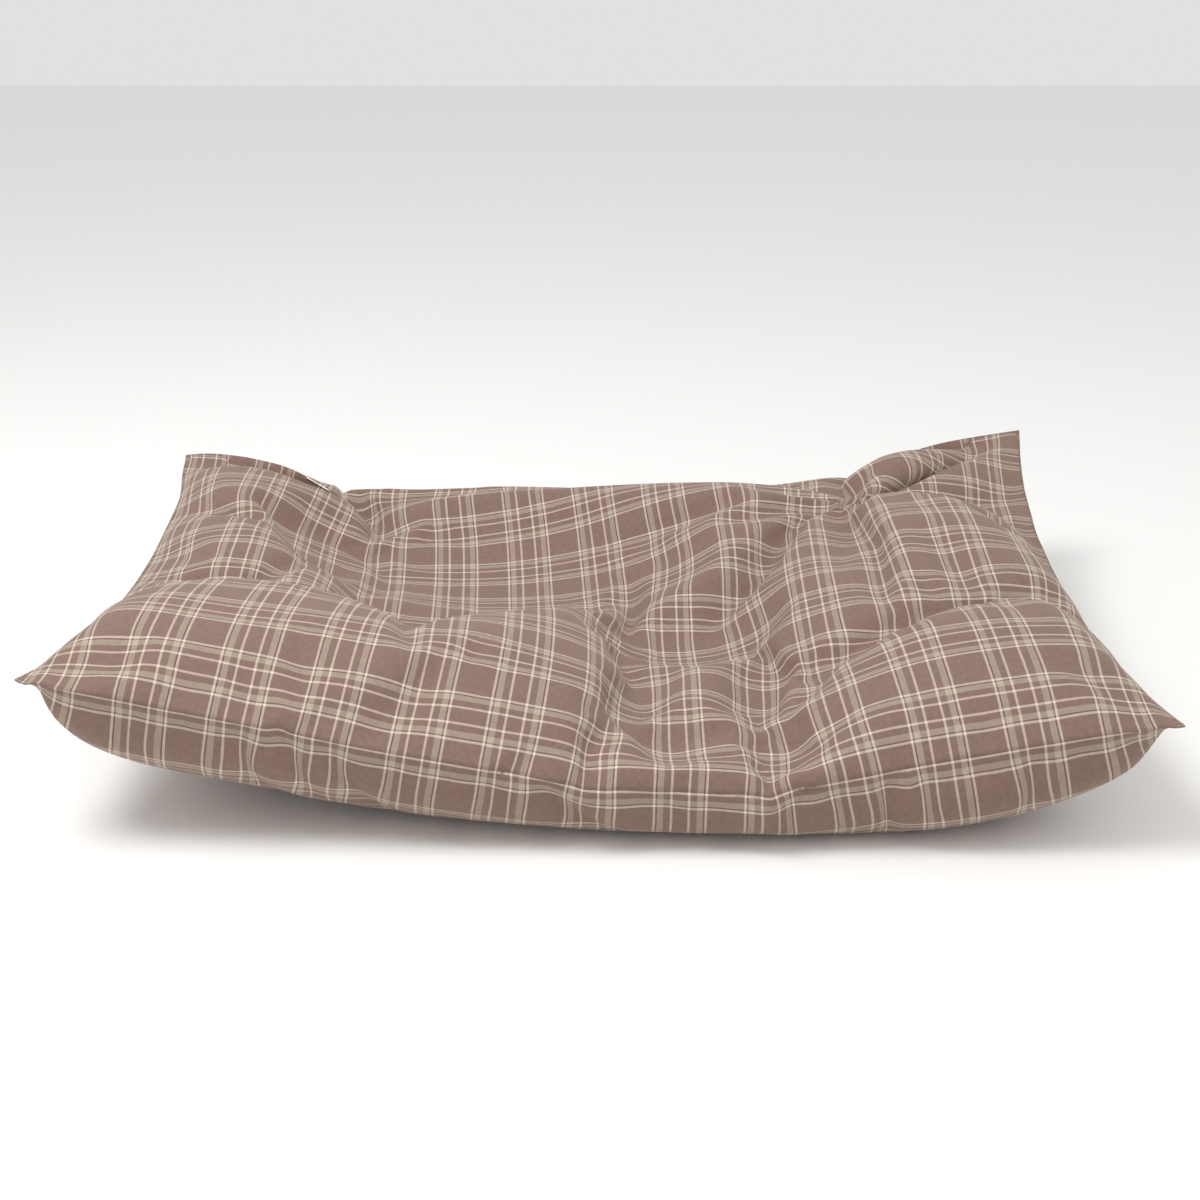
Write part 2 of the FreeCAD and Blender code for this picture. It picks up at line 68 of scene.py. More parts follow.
# %% Places read from the frame
panel_high = Vector(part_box("cover_bottom_panel")[1])
welt_high = Vector(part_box("zipper_welt_upper")[1])
tack_low, tack_high = (Vector(corner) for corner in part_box("zipper_bar_tacks"))

half_x = panel_high.x
half_y = panel_high.y
zip_half = welt_high.x  # the blunted part of the back edge
zip_face = welt_high.y  # the outer face of the welts
zip_z = (tack_low.z + tack_high.z) / 2
slot_half = 4.6 * MM  # from the teeth's centreline to a folded edge
print(f"half sizes {half_x:.3f} x {half_y:.3f}, zip face y {zip_face:.4f}, zip height {zip_z:.4f}")

# %% [markdown]
# ## Small helpers for materials
#
# A material here is a node tree. One function adds a node, sets it up and links its inputs; another
# turns a hex colour, which is sRGB, into the linear numbers that a shader wants.


# %% Helpers for node trees
def linear(hex_colour):
    """An sRGB hex colour as linear red, green, blue and alpha."""
    channels = [int(hex_colour[i : i + 2], 16) / 255 for i in (0, 2, 4)]
    curve = [c / 12.92 if c <= 0.04045 else ((c + 0.055) / 1.055) ** 2.4 for c in channels]
    return (*curve, 1.0)


def add_node(tree, kind, settings=None, **inputs):
    """Adds a node with its own settings. Each input is a value or a node's output; _0 means socket 0."""
    node = tree.nodes.new(kind)
    for name, value in (settings or {}).items():
        setattr(node, name, value)
    for name, value in inputs.items():
        key = int(name[1:]) if name[0] == "_" and name[1:].isdigit() else name.replace("_", " ")
        if isinstance(value, bpy.types.NodeSocket):
            tree.links.new(value, node.inputs[key])
        else:
            node.inputs[key].default_value = value
    return node


def new_material(name, roughness, **shader_values):
    """A material with a Principled shader, and that shader's constants."""
    material = bpy.data.materials.new(name)
    material.use_nodes = True
    shader = material.node_tree.nodes["Principled BSDF"]
    shader.inputs["Roughness"].default_value = roughness
    for key, value in shader_values.items():
        shader.inputs[key.replace("_", " ")].default_value = value
    return material, material.node_tree, shader


def wear(material, *pieces):
    """Puts a material on pieces, in their first slot."""
    for piece in pieces:
        if piece.data.materials:
            piece.data.materials[0] = material
        else:
            piece.data.materials.append(material)


# %% [markdown]
# ## The plaid
#
# The cover is a yarn-dyed twill: the stripes are in the yarn, so each one runs the whole length or width
# of the cloth. Where a stripe of the warp crosses one of the weft, the twill shows half of each. That is
# why crossings are bright and single stripes are half as strong, and it is the whole recipe: two stripe
# rows, one per direction, and their average. A ready-made pattern would do the same, but a formula stays
# sharp from close by and has no edges.
#
# The stripes follow the cloth, not the space round it, so they are driven by a UV map named "cloth" that
# holds each point's place on the flat cut cloth, in metres. Then every fold bends the stripes as it
# bends the yarn.

# %% Plaid colours and stripe widths
GROUND, CREAM, STONE, COCOA = "7E665C", "D6C7B9", "AC9F90", "5A453D"
SETT = [  # half of one repeat, from its middle: where each stripe starts, in mm, and its yarn
    (0.0, GROUND),
    (8.0, CREAM),
    (10.6, GROUND),
    (17.6, STONE),
    (24.2, COCOA),
    (25.8, CREAM),
    (28.4, GROUND),
]
REPEAT_X, REPEAT_Y = 95.5 * MM, 99.5 * MM  # a loom beats the weft a little looser than the warp is set
SETT_SHIFT = (11.0 * MM, 14.5 * MM, 0.0)  # where the repeat falls on the cut cloth
BASE_SHIFT = 44.5 * MM  # the two panels are cut apart, so the stripes along the seam don't mirror each other
TWILL_LINE = 1.7 * MM  # real twill lines are 0.5 mm apart; drawn coarser so that they show
THREAD = 0.9 * MM  # yarn spacing, also coarser than life


def stripes(tree, across, repeat):
    """One direction's yarn colours, from the place on the cloth across the stripes."""
    folded = add_node(tree, "ShaderNodeMath", {"operation": "PINGPONG"}, _0=across, _1=repeat / 2)
    share = add_node(tree, "ShaderNodeMath", {"operation": "DIVIDE"}, _0=folded.outputs[0], _1=repeat / 2)
    ramp = add_node(tree, "ShaderNodeValToRGB", Fac=share.outputs[0])
    ramp.color_ramp.interpolation = "CONSTANT"
    for place, yarn in SETT[1:]:
        stop = ramp.color_ramp.elements.new(place * MM / (repeat / 2))
        stop.color = linear(yarn)
    ramp.color_ramp.elements[0].color = linear(SETT[0][1])
    ramp.color_ramp.elements[-1].position = 1.0
    ramp.color_ramp.elements[-1].color = linear(SETT[-1][1])
    return ramp.outputs["Color"]


# %% The plaid twill itself
def plaid_twill():
    """Yarn-dyed cotton and polyester twill: matt, with a faint sheen of fuzz and fine diagonal lines."""
    material, tree, shader = new_material(
        "plaid_twill", 0.88, IOR=1.5, Sheen_Weight=0.25, Sheen_Roughness=0.5
    )
    shader.inputs["Sheen Tint"].default_value = linear("E8D8CC")
    shader.inputs["Specular IOR Level"].default_value = 0.25
    cloth = add_node(tree, "ShaderNodeUVMap", {"uv_map": "cloth"})
    place = add_node(tree, "ShaderNodeVectorMath", {"operation": "ADD"}, _0=cloth.outputs[0], _1=SETT_SHIFT)
    axes = add_node(tree, "ShaderNodeSeparateXYZ", _0=place.outputs[0])
    warp = stripes(tree, axes.outputs["X"], REPEAT_X)
    weft = stripes(tree, axes.outputs["Y"], REPEAT_Y)

    # Twill: the yarn on top changes along diagonal lines. From afar the eye sees half of each.
    diagonal = add_node(tree, "ShaderNodeMath", _0=axes.outputs["X"], _1=axes.outputs["Y"])
    turn_rate = math.tau / TWILL_LINE
    phase = add_node(tree, "ShaderNodeMath", {"operation": "MULTIPLY"}, _0=diagonal.outputs[0], _1=turn_rate)
    wave = add_node(tree, "ShaderNodeMath", {"operation": "SINE"}, _0=phase.outputs[0])
    on_top = add_node(
        tree, "ShaderNodeMapRange", Value=wave.outputs[0], From_Min=-1.0, To_Min=0.38, To_Max=0.62
    )
    yarns = add_node(tree, "ShaderNodeMix", {"data_type": "RGBA"}, _0=on_top.outputs[0], _6=warp, _7=weft)

    # Slubs: yarn takes dye unevenly, in streaks a few centimetres long
    streaks = add_node(
        tree, "ShaderNodeTexNoise", {"noise_dimensions": "2D"}, Vector=place.outputs[0], Scale=160.0
    )
    streaks.inputs["Detail"].default_value = 4.0
    shade = add_node(tree, "ShaderNodeMapRange", Value=streaks.outputs[0], From_Min=0.3, From_Max=0.7)
    shade.inputs["To Min"].default_value = 0.93
    shade.inputs["To Max"].default_value = 1.06
    dyed = add_node(
        tree, "ShaderNodeVectorMath", {"operation": "SCALE"}, _0=yarns.outputs[2], Scale=shade.outputs[0]
    )
    tree.links.new(dyed.outputs[0], shader.inputs["Base Color"])

    # Relief: the diagonal lines, the single threads, and the light crumple that pressed-in creases leave
    threads = add_node(
        tree, "ShaderNodeTexNoise", {"noise_dimensions": "2D"}, Vector=place.outputs[0], Scale=0.5 / THREAD
    )
    relief = add_node(tree, "ShaderNodeMath", {"operation": "ADD"}, _0=wave.outputs[0], _1=threads.outputs[0])
    fine = add_node(tree, "ShaderNodeBump", Strength=0.35, Distance=0.12 * MM, Height=relief.outputs[0])
    crumple = add_node(
        tree, "ShaderNodeTexNoise", {"noise_dimensions": "2D"}, Vector=place.outputs[0], Scale=26.0
    )
    crumple.inputs["Detail"].default_value = 3.0
    soft = add_node(tree, "ShaderNodeBump", Strength=0.5, Distance=1.6 * MM, Height=crumple.outputs[0])
    tree.links.new(fine.outputs[0], soft.inputs["Normal"])
    tree.links.new(soft.outputs[0], shader.inputs["Normal"])
    return material


plaid = plaid_twill()
print("plaid repeat", REPEAT_X, REPEAT_Y, "m, nodes", len(plaid.node_tree.nodes))

# %% [markdown]
# ## Cutting the cloth
#
# Two grids stand for the two panels. They share the points of their outer edge, which is the seam. The
# grid is made flat, at the size the cloth is cut, because a cloth simulation takes its rest lengths from
# the mesh it starts with: only flat cloth that is longer than the way it has to span makes real folds.

# %% The flat panels
CUT_X, CUT_Y = 1.24, 0.93
MESH = 12.5 * MM
columns, rows = round(CUT_X / MESH), round(CUT_Y / MESH)
TOP, BASE = 1, -1  # also the way each panel faces, up or down
FLAT_HEIGHT = 0.1  # where the flat cloth starts, above the floor
START_GAP = 4 * MM  # from the middle to each cloth, so that they don't start in one plane


def cut_place(i, j):
    """Place on the flat cloth of a grid point, from the cloth's middle."""
    return (i / columns - 0.5) * CUT_X, (j / rows - 0.5) * CUT_Y


def on_seam(i, j):
    return i in (0, columns) or j in (0, rows)


points, index = [], {}
for side in (TOP, BASE):
    for j in range(rows + 1):
        for i in range(columns + 1):
            if side == BASE and on_seam(i, j):
                index[side, i, j] = index[TOP, i, j]
                continue
            index[side, i, j] = len(points)
            lift = 0.0 if on_seam(i, j) else START_GAP * side
            points.append((*cut_place(i, j), FLAT_HEIGHT + lift))

faces = []
for side in (TOP, BASE):
    for j in range(rows):
        for i in range(columns):
            corners = [index[side, a, b] for a, b in ((i, j), (i + 1, j), (i + 1, j + 1), (i, j + 1))]
            faces.append(corners if side == TOP else corners[::-1])

sewn_mesh = bpy.data.meshes.new("sewn_cover")
sewn_mesh.from_pydata(points, [], faces)
sewn = bpy.data.objects.new("sewn_cover", sewn_mesh)
scene.collection.objects.link(sewn)
print(f"cloth grid {columns} x {rows}, {len(points)} points")

# %% [markdown]
# ## Where the seam lies
#
# A cushion that has been lain in has its seam pulled into a boat: low where the pet got in, high at the
# corner tips, which hold little filling and stand up like ears. The four runs of the seam are given as a
# few points: how far along X and Y as a share of the half size, and the height in metres. They
# become soft pins: the cloth is drawn towards them and still finds its own small waves. Only the tips
# and the zipper are held fast.

# %% The seam's four runs
FRONT = [
    (-1.0, -0.918, 0.200),
    (-0.75, -0.932, 0.172),
    (-0.52, -0.932, 0.142),
    (-0.27, -0.932, 0.110),
    (0.0, -0.932, 0.080),
    (0.28, -0.932, 0.074),
    (0.59, -0.932, 0.110),
    (0.83, -0.95, 0.142),
    (1.0, -0.955, 0.156),
]
BACK = [
    (-0.99, 0.982, 0.172),
    (-0.80, 0.955, 0.178),
    (-0.70, 0.930, 0.150),
    (-0.62, 0.905, 0.122),
    (-0.55, zip_face / half_y, zip_z),
    (0.55, zip_face / half_y, zip_z),
    (0.62, 0.905, 0.150),
    (0.70, 0.930, 0.180),
    (0.80, 0.955, 0.203),
    (1.0, 0.995, 0.207),
]
LEFT = [FRONT[0], (-0.970, -0.68, 0.182), (-0.955, -0.34, 0.160), (-0.957, 0.0, 0.150), (-0.955, 0.34, 0.150)]
LEFT += [(-0.962, 0.68, 0.160), BACK[0]]
RIGHT = [FRONT[-1], (0.972, -0.68, 0.146), (0.955, -0.34, 0.142), (0.950, 0.0, 0.142), (0.952, 0.34, 0.152)]
RIGHT += [(0.968, 0.68, 0.172), BACK[-1]]
GUIDE = 0.4  # how firmly the seam is drawn to its line; 1 holds it fast
ZIP_TAKE_UP = 0.995  # the sewn-in tape leaves the back edge a touch shorter than it was cut


def along(line, share):
    """The point at a share of the way along a line of points, in metres."""
    way = np.array(line) * (half_x, half_y, 1.0)
    steps = np.linalg.norm(np.diff(way, axis=0), axis=1)
    reached = np.concatenate(([0.0], np.cumsum(steps))) / steps.sum()
    return Vector([float(np.interp(share, reached, way[:, axis])) for axis in range(3)])


def seam_points(line, cells, place_of):
    """Each point of one run of the seam: its number, where it is drawn to and how firmly."""
    for k in range(cells + 1):
        i, j = place_of(k)
        target, hold = along(line, k / cells), GUIDE
        across = cut_place(i, j)[0]
        if line is BACK and abs(across) <= zip_half:
            target, hold = Vector((across * ZIP_TAKE_UP, zip_face, zip_z)), 1.0
        if k in (0, cells):
            hold = 1.0
        yield index[TOP, i, j], target, hold


sewn.shape_key_add(name="Basis")
drawn = sewn.shape_key_add(name="drawn_up")
pins = sewn.vertex_groups.new(name="pins")
runs = [
    (FRONT, columns, lambda k: (k, 0)),
    (BACK, columns, lambda k: (k, rows)),
    (LEFT, rows, lambda k: (0, k)),
    (RIGHT, rows, lambda k: (columns, k)),
]
for line, cells, place_of in runs:
    for number, target, hold in seam_points(line, cells, place_of):
        drawn.data[number].co = target
        pins.add([number], hold, "REPLACE")
for value, when in ((0.0, 1), (1.0, 20)):
    drawn.value = value
    drawn.keyframe_insert("value", frame=when)
print("pinned seam points:", sum(1 for v in sewn_mesh.vertices if v.groups))

# %% [markdown]
# ## The pet that presses the hollow
#
# The hollow is made the way it is made in life: something heavy and rounded comes down on the full
# cushion. Simple ellipsoids stand for the body, the haunch, the chest and the forelegs, and thin rods
# for the folds that a turning pet works into the cloth. They are deleted once the cloth has taken their
# shape.


# %% Shapes that press the cloth
CLOTH_GAP = 3 * MM  # the cloth keeps this far from what it touches


def press_shape(name, build, friction):
    """A mesh that cloth can't pass through."""
    mesh = bpy.data.meshes.new(name)
    shape = bmesh.new()
    build(shape)
    shape.to_mesh(mesh)
    shape.free()
    press = bpy.data.objects.new(name, mesh)
    scene.collection.objects.link(press)
    press.modifiers.new("press", "COLLISION")
    press.collision.thickness_outer = CLOTH_GAP
    press.collision.cloth_friction = friction
    return press


# centre, radii and turn about Z in degrees
BODY_PARTS = [
    ((-0.13, 0.13, 0.205), (0.31, 0.20, 0.12), -20),
    ((-0.20, 0.00, 0.180), (0.13, 0.12, 0.08), 0),
    ((0.10, -0.08, 0.180), (0.12, 0.12, 0.09), 0),
    ((0.05, -0.26, 0.150), (0.035, 0.12, 0.04), -14),
    ((0.17, -0.26, 0.145), (0.035, 0.13, 0.04), -5),
    ((0.075, -0.355, 0.125), (0.035, 0.045, 0.03), 0),
    ((0.185, -0.365, 0.120), (0.035, 0.045, 0.03), 0),
]
# radius, then the way of each fold along its bottom
FOLDS = [
    (0.020, [(-0.560, -0.107, 0.180), (-0.406, -0.090, 0.175), (-0.212, -0.058, 0.140)]),
    (0.010, [(-0.456, -0.030, 0.185), (-0.376, 0.023, 0.175)]),
    (0.018, [(0.530, -0.120, 0.178), (0.439, -0.142, 0.168), (0.364, -0.160, 0.157), (0.225, -0.231, 0.120)]),
    (0.010, [(0.330, 0.224, 0.168), (0.500, 0.224, 0.172)]),
    (0.008, [(0.430, 0.300, 0.188), (0.530, 0.200, 0.192)]),
]


def build_pet(shape):
    for centre, radii, turn in BODY_PARTS:
        turned = Matrix.Translation(centre) @ Matrix.Rotation(math.radians(turn), 4, "Z")
        place = turned @ Matrix.Diagonal((*radii, 1))
        bmesh.ops.create_icosphere(shape, subdivisions=4, radius=1.0, matrix=place)
    for radius, way in FOLDS:
        lifted = [Vector(point) + Vector((0, 0, radius)) for point in way]
        for point in lifted:
            bmesh.ops.create_icosphere(shape, subdivisions=2, radius=radius, matrix=Matrix.Translation(point))
        for start, end in zip(lifted, lifted[1:]):
            run = end - start
            place = Matrix.Translation((start + end) / 2) @ run.to_track_quat("Z", "Y").to_matrix().to_4x4()
            bmesh.ops.create_cone(
                shape, segments=12, radius1=radius, radius2=radius, depth=run.length, matrix=place
            )


def build_ground(shape):
    bmesh.ops.create_grid(shape, x_segments=2, y_segments=2, size=2.0)


# %% [markdown]
# ## Filling and pressing
#
# Blender's Cloth has a pressure that grows when the volume inside is under its target. That is a fair
# stand-in for loose fibre: it keeps its bulk and moves away from where it is pressed. A little fluid
# density adds the weight of the filling, which settles into the lower half and spreads the base on the
# floor.

# %% Run the cloth simulation
FRAMES, LOWERING = 60, (12, 45)  # frames in all, and the two between which the pet comes down
DROP = 0.22  # how far above its place the pet starts


def set_up_cloth(target):
    cloth = target.modifiers.new("cloth", "CLOTH")
    settings = cloth.settings
    settings.quality = 6
    settings.mass = 0.02
    settings.air_damping = 2.0
    settings.tension_stiffness = 60
    settings.compression_stiffness = 20
    settings.shear_stiffness = 4
    settings.bending_stiffness = 3.0
    settings.tension_damping = settings.compression_damping = settings.shear_damping = 5
    settings.vertex_group_mass = "pins"
    settings.pin_stiffness = 5
    settings.use_pressure = settings.use_pressure_volume = True
    settings.target_volume = 0.20
    settings.uniform_pressure_force = 0.0
    settings.pressure_factor = 10
    settings.fluid_density = 3.0
    cloth.collision_settings.distance_min = CLOTH_GAP
    cloth.point_cache.frame_start = 1
    cloth.point_cache.frame_end = FRAMES
    return cloth


def press_cushion():
    """Runs the simulation and returns where every point of the sewn cover comes to rest."""
    set_up_cloth(sewn)
    ground = press_shape("ground", build_ground, friction=1)
    pet = press_shape("pet", build_pet, friction=2)
    for height, when in zip((DROP, 0.0), LOWERING):
        pet.location.z = height
        pet.keyframe_insert("location", frame=when)
    scene.frame_start, scene.frame_end = 1, FRAMES
    for number in range(1, FRAMES + 1):
        scene.frame_set(number)
    settled = sewn.evaluated_get(bpy.context.evaluated_depsgraph_get()).data
    places = np.array([vertex.co for vertex in settled.vertices])
    for helper in (ground, pet):
        bpy.data.objects.remove(helper)
    scene.frame_set(1)
    return places


places = press_cushion()
bpy.data.objects.remove(sewn)
print("settled cover:", places.min(0).round(3), places.max(0).round(3))

# %% [markdown]
# ## Plumping
#
# Whoever sets up a cushion pats it into shape at the end, and so does this step. Loose fibre is pushed
# into the front corners and makes the base belly out under the seam, which even pressure alone doesn't
# do. Each pat moves cloth along its own outward direction, most at one place of the cut cloth, and not
# at all on the seam. The short ripples where the side seams were drawn together are eased out first,
# along the seam.

# %% The two panels as grids of places
grid = {side: np.zeros((columns + 1, rows + 1, 3)) for side in (TOP, BASE)}
for (side, i, j), number in index.items():
    grid[side][i, j] = places[number]

EASE_COLUMNS, EASE_ROUNDS = 7, 14
for side in (TOP, BASE):
    layer = grid[side]
    for line in [*range(EASE_COLUMNS), *range(columns - EASE_COLUMNS + 1, columns + 1)]:
        strength = 0.5 * (1 - min(line, columns - line) / EASE_COLUMNS)
        for _ in range(EASE_ROUNDS):
            middle = (layer[line, :-2] + layer[line, 2:]) / 2
            layer[line, 1:-1] += (middle - layer[line, 1:-1]) * strength

# side, place on the cut cloth, reach along X and Y, and how far the cloth moves out, all in metres
PATS = [
    (BASE, -0.50, -0.40, 0.17, 0.12, 0.025),
    (BASE, -0.24, -0.38, 0.20, 0.13, 0.018),
    (BASE, 0.50, -0.40, 0.17, 0.12, 0.025),
    (BASE, 0.36, -0.38, 0.15, 0.13, 0.016),
    (TOP, -0.54, -0.30, 0.10, 0.16, 0.012),
    (TOP, 0.55, -0.25, 0.08, 0.22, 0.008),
    (TOP, 0.42, -0.27, 0.13, 0.10, 0.022),
    (TOP, 0.45, 0.05, 0.10, 0.12, 0.010),
    (TOP, 0.39, 0.38, 0.10, 0.08, 0.024),
    (TOP, -0.33, 0.40, 0.08, 0.06, -0.006),
    (TOP, 0.05, 0.38, 0.26, 0.07, -0.014),
    (BASE, 0.54, 0.02, 0.10, 0.22, -0.016),
]


def outward(side):
    """The direction that faces out of the cushion, at each point of a panel."""
    along_x = np.gradient(grid[side], axis=0)
    along_y = np.gradient(grid[side], axis=1)
    normal = np.cross(along_x, along_y) * side
    return normal / np.maximum(np.linalg.norm(normal, axis=2, keepdims=True), 1e-9)


SEAM_HOLD = 32 * MM  # how far from the seam the cloth is still held by it
cloth_x = np.linspace(-0.5, 0.5, columns + 1) * CUT_X
cloth_y = np.linspace(-0.5, 0.5, rows + 1) * CUT_Y
u, v = np.meshgrid(cloth_x, cloth_y, indexing="ij")
seam_gap = np.minimum(CUT_X / 2 - abs(u), CUT_Y / 2 - abs(v))
seam_hold = 1 - np.exp(-((seam_gap / SEAM_HOLD) ** 2))
for side, at_x, at_y, reach_x, reach_y, amount in PATS:
    share = np.exp(-(((u - at_x) / reach_x) ** 2) - ((v - at_y) / reach_y) ** 2) * seam_hold
    grid[side] += outward(side) * (share * amount)[:, :, None]
grid[BASE][:, :, 2] = np.maximum(grid[BASE][:, :, 2], 0.0)
print("lowest and highest:", grid[BASE][:, :, 2].min().round(4), grid[TOP][:, :, 2].max().round(4))

# %% [markdown]
# ## Blending the cloth into the zipper
#
# The simulation ends on one closed seam. At the zipper the two cloth edges part: each is folded under
# and stands beside the teeth. The rows of cloth next to the zipper are drawn onto the welts' flat face,
# and only past a flat run may they stand out from it again, so that the pull tab has room to turn over.
# Past the bar tacks the two edges close up again.

# %% The welts and the cloth beside them
FLAT_RUN = 26 * MM  # cloth that lies on the welts' face
BLEND_RUN = 60 * MM  # cloth over which the panel returns to its own form
CLOSE_RUN = 40 * MM  # how quickly the blunt edge becomes a knife edge past the zipper
HELD_PAST = 12 * MM  # how far past the zipper the cloth still lies on the flat face
TACK_RUN = 10 * MM  # over which the slot closes at a bar tack
TAKE_UP = 0.97  # height that the cloth covers on the face, as a share of its own length
STAND_OFF = 0.8  # how far it may stand out past the flat run, as a share of its length there


def ease(value):
    value = min(max(value, 0.0), 1.0)
    return value * value * (3 - 2 * value)


for side in (TOP, BASE):
    for i in range(columns + 1):
        across = abs(grid[side][i, rows][0])
        hold = 1 - ease((across - zip_half - HELD_PAST) / CLOSE_RUN)
        if hold <= 0:
            continue
        gap = slot_half * (1 - ease((across - tack_high.x + TACK_RUN) / TACK_RUN))
        for j in range(rows, 0, -1):
            back = (rows - j) / rows * CUT_Y
            pull = hold * (1 - ease((back - FLAT_RUN) / BLEND_RUN))
            if pull <= 0:
                break
            own = grid[side][i, j]
            rise = max(back - FLAT_RUN, 0.0)
            height = zip_z + side * (gap + back * TAKE_UP)
            goal = np.array([own[0], min(own[1], zip_face + STAND_OFF * rise), height])
            if back <= FLAT_RUN:
                goal[1] = zip_face
            grid[side][i, j] = own + (goal - own) * pull
zip_middle = columns // 2
print(
    "zipper edge, top:", grid[TOP][zip_middle, rows].round(4), "base:", grid[BASE][zip_middle, rows].round(4)
)


# %% [markdown]
# ## The cover's two panels
#
# Each panel becomes its own mesh, with its place on the cut cloth kept as UVs. The upright stripes meet
# at the front seam, as a careful cutter lays them; the stripes along the seam fall where the cutting
# left them. One subdivision smooths the folds, and a solidify gives the cloth its thickness, inwards.


# %% Build a panel
def panel_mesh(name, side, layer):
    mesh = bpy.data.meshes.new(name)
    verts = layer.reshape(-1, 3).tolist()
    stride = layer.shape[1]
    quads = []
    for i in range(layer.shape[0] - 1):
        for j in range(stride - 1):
            quad = [i * stride + j, (i + 1) * stride + j, (i + 1) * stride + j + 1, i * stride + j + 1]
            quads.append(quad if side == TOP else quad[::-1])
    mesh.from_pydata(verts, [], quads)
    mesh.polygons.foreach_set("use_smooth", [True] * len(mesh.polygons))
    uv = mesh.uv_layers.new(name="cloth")
    for loop in mesh.loops:
        u, v = cut_place(*divmod(loop.vertex_index, stride))
        uv.data[loop.index].uv = (u, v if side == TOP else BASE_SHIFT - CUT_Y - v)
    return mesh


def add_piece(name, mesh, material, body):
    """Links a piece, gives it its material, and says which body it rides on."""
    piece = bpy.data.objects.new(name, mesh)
    scene.collection.objects.link(piece)
    wear(material, piece)
    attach(piece, body)
    return piece


def cloth_panel(name, side, nodes):
    piece = add_piece(name, panel_mesh(name, side, grid[side]), plaid, CUSHION)
    smooth = piece.modifiers.new("smooth", "SUBSURF")
    smooth.levels = smooth.render_levels = 1
    smooth.boundary_smooth = "PRESERVE_CORNERS"
    smooth.uv_smooth = "NONE"
    thick = piece.modifiers.new("cloth", "SOLIDIFY")
    thick.thickness = 1.0 * MM
    thick.offset = -1.0
    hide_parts(*nodes)
    return piece


cover_top = cloth_panel("cover_top", TOP, ["cover_top_panel", "zipper_welt_upper"])
cover_base = cloth_panel("cover_base", BASE, ["cover_bottom_panel", "zipper_welt_lower"])
print("cover pieces:", cover_top.name, cover_base.name, "faces each:", len(cover_top.data.polygons))

# %% [markdown]
# ## The inner cushion
#
# Inside the cover is a second bag of plain lining, filled with loose polyester fibre. None of it shows,
# but it is there when the cover is opened. The room inside is measured straight up and down from the
# middle of the filling to the cover, so that the bag follows the folds from inside. At the back it is
# drawn further in, clear of the zipper tapes and of the folds beside them.


# %% Layers inside the cover
def sample(side, u, v):
    """A place on a cover panel, by its share of the cut cloth from 0 to 1, between grid points."""
    x, y = u * columns, v * rows
    i, j = min(int(x), columns - 1), min(int(y), rows - 1)
    p, q = x - i, y - j
    g = grid[side]
    return (g[i, j] * (1 - p) + g[i + 1, j] * p) * (1 - q) + (g[i, j + 1] * (1 - p) + g[i + 1, j + 1] * p) * q


INNER_INSET = 22 * MM
INNER_CELLS = (72, 54)
BACK_INSETS = 2.6  # front and back insets together, in INNER_INSETs: the back one is larger, for the zipper
DRAW_RUN = 90 * MM  # how deep from the back the inner cushion is drawn in
ZIP_CLEARANCE = 32 * MM  # how far the inner cushion is drawn in behind the zipper
PAST_ZIP = 150 * MM  # and how far past the zipper's ends, where the back seam is folded too


cover_points = [None] * len(points)
for (side, i, j), number in index.items():
    cover_points[number] = Vector(grid[side][i, j])
cover_tree = BVHTree.FromPolygons(cover_points, faces)


def measure_room():
    """The middle of the filling on a grid, and the clear height above and below each of its points."""
    cells_x, cells_y = INNER_CELLS
    core = np.zeros((cells_x + 1, cells_y + 1, 3))
    room = {side: np.zeros((cells_x + 1, cells_y + 1)) for side in (TOP, BASE)}
    for i in range(cells_x + 1):
        for j in range(cells_y + 1):
            u = (INNER_INSET + i / cells_x * (CUT_X - 2 * INNER_INSET)) / CUT_X
            v = (INNER_INSET + j / cells_y * (CUT_Y - BACK_INSETS * INNER_INSET)) / CUT_Y
            core[i, j] = (sample(TOP, u, v) + sample(BASE, u, v)) / 2
            behind_zip = 1 - ease((abs(core[i, j, 0]) - zip_half - PAST_ZIP) / CLOSE_RUN)
            near_back = ease((core[i, j, 1] - zip_face + DRAW_RUN) / DRAW_RUN)
            core[i, j, 1] -= ZIP_CLEARANCE * behind_zip * near_back
            for side in (TOP, BASE):
                distance = cover_tree.ray_cast(Vector(core[i, j]), Vector((0, 0, side)))[3]
                room[side][i, j] = distance if distance is not None else 0.0
    for side in (TOP, BASE):
        padded = np.pad(room[side], 1, mode="edge")
        shifts = [padded[a : a + cells_x + 1, b : b + cells_y + 1] for a in range(3) for b in range(3)]
        room[side] = np.minimum.reduce(shifts)
    return core, room


core, room = measure_room()


def inner_layer(side, depth):
    """One side of a bag inside the cover: at its full depth where there is room, and nearer at the seam."""
    layer = core.copy()
    lift = room[side] ** 2 / (room[side] + depth)
    lift[[0, -1], :] = lift[:, [0, -1]] = 0.0  # sewn shut along its edge
    layer[:, :, 2] += side * lift
    return layer


def weld(meshes, name):
    """One closed mesh from a top and a base that share their outer edge."""
    shape = bmesh.new()
    for mesh in meshes:
        shape.from_mesh(mesh)
    bmesh.ops.remove_doubles(shape, verts=shape.verts, dist=0.01 * MM)
    whole = bpy.data.meshes.new(name)
    shape.to_mesh(whole)
    shape.free()
    return whole


LINER_DEPTH, FILL_DEPTH = 7 * MM, 12 * MM

# %% [markdown]
# The lining is non-woven polypropylene: pressed, not woven, so it has faint dimples from the bonding
# roller. The filling is lofted polyester fibre, a cloud of white crimped strands.


